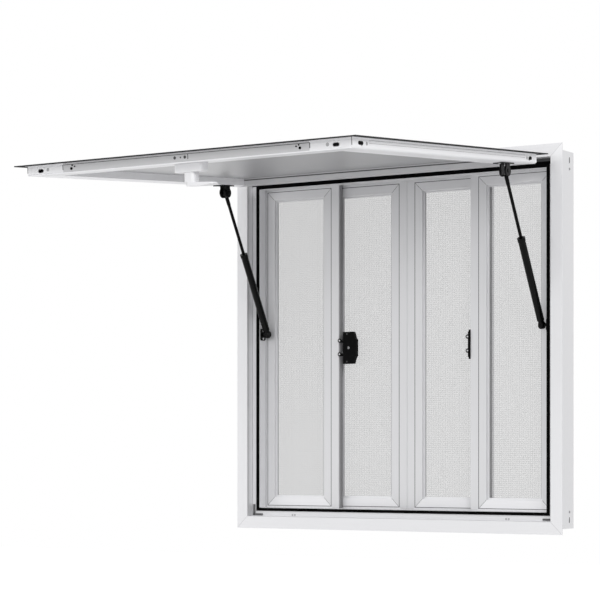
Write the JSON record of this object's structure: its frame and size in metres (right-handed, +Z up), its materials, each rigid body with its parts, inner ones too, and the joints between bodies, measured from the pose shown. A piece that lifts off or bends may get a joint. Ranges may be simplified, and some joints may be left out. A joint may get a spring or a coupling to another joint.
{
  "type": "concession window",
  "caption": "Flanged aluminium serving window for a food trailer, with sliding insect screens behind an awning door that gas struts hold up.",
  "frame": {"origin": "back face of the flange, in the middle of its bottom strip", "axes": "+X to the right seen from outside, +Y into the wall, +Z up"},
  "size_m": [0.914, 0.9895, 0.914],
  "materials": {
    "frame_metal": "satin",
    "screen_metal": "satin",
    "door_metal": "satin",
    "door_board": "satin",
    "insect_mesh": "woven",
    "seal_rubber": "matte",
    "black_plastic": "matte",
    "white_plastic": "gloss",
    "strut_finish": "satin",
    "strut_rod_finish": "satin",
    "rod_steel": "satin"
  },
  "bodies": {
    "frame": {"door_seal": "seal_rubber", "frame_head": "frame_metal", "frame_left": "frame_metal", "frame_right": "frame_metal", "frame_sill": "frame_metal", "hinge_frame_leaf": "frame_metal", "hinge_pin": "rod_steel", "left_strut_foot": "strut_finish", "right_strut_foot": "strut_finish", "sash_1_bottom_rail": "screen_metal", "sash_1_left_stile": "screen_metal", "sash_1_right_stile": "screen_metal", "sash_1_screen": "insect_mesh", "sash_1_top_rail": "screen_metal", "sash_2_bottom_rail": "screen_metal", "sash_2_left_stile": "screen_metal", "sash_2_right_stile": "screen_metal", "sash_2_screen": "insect_mesh", "sash_2_top_rail": "screen_metal", "sash_3_bottom_rail": "screen_metal", "sash_3_left_stile": "screen_metal", "sash_3_right_stile": "screen_metal", "sash_3_screen": "insect_mesh", "sash_3_top_rail": "screen_metal", "sash_4_bottom_rail": "screen_metal", "sash_4_left_stile": "screen_metal", "sash_4_right_stile": "screen_metal", "sash_4_screen": "insect_mesh", "sash_4_top_rail": "screen_metal", "sash_glides": "black_plastic", "sash_keeper": "black_plastic", "sash_latch": "black_plastic"},
    "door": {"door_panel": "door_board", "door_rail_bottom": "door_metal", "door_rail_left": "door_metal", "door_rail_right": "door_metal", "door_rail_top": "door_metal", "door_skin": "door_metal", "hinge_door_leaf": "frame_metal", "left_strut_head": "strut_finish", "right_strut_head": "strut_finish", "turn_latch_base": "white_plastic"},
    "left_strut_tube": {"left_strut_tube": "strut_finish"},
    "left_strut_rod": {"left_strut_rod": "strut_rod_finish"},
    "right_strut_tube": {"right_strut_tube": "strut_finish"},
    "right_strut_rod": {"right_strut_rod": "strut_rod_finish"},
    "turn_handle": {"turn_latch_handle": "white_plastic"}
  },
  "joints": [
    {"name": "door_hinge", "type": "hinge", "parent": "frame", "child": "door", "pos_m": [0, -0.0238, 0.8951], "axis": [1, 0, 0], "range_deg": [0, 85.77]},
    {"name": "turn_handle_turn", "type": "hinge", "parent": "door", "child": "turn_handle", "pos_m": [0, -0.84567, 0.77756], "axis": [0, -0.0738, 0.9973], "range_deg": [0, 90]},
    {"name": "left_strut_swing", "type": "hinge", "parent": "frame", "child": "left_strut_tube", "pos_m": [-0.3876, 0.032, 0.4865], "axis": [-1, 0, 0], "range_deg": [0, 28.99]},
    {"name": "left_strut_stroke", "type": "slide", "parent": "left_strut_tube", "child": "left_strut_rod", "axis": [0, 0.4847, -0.8747], "range_m": [0, 0.13173]},
    {"name": "right_strut_swing", "type": "hinge", "parent": "frame", "child": "right_strut_tube", "pos_m": [0.3876, 0.032, 0.4865], "axis": [-1, 0, 0], "range_deg": [0, 28.99]},
    {"name": "right_strut_stroke", "type": "slide", "parent": "right_strut_tube", "child": "right_strut_rod", "axis": [0, 0.4847, -0.8747], "range_m": [0, 0.13173]}
  ],
  "couplings": [
    {"joint": "left_strut_swing", "follows": "door_hinge", "ratio": 0.338},
    {"joint": "left_strut_stroke", "follows": "door_hinge", "m_per_rad": 0.08799},
    {"joint": "right_strut_swing", "follows": "door_hinge", "ratio": 0.338},
    {"joint": "right_strut_stroke", "follows": "door_hinge", "m_per_rad": 0.08799}
  ]
}
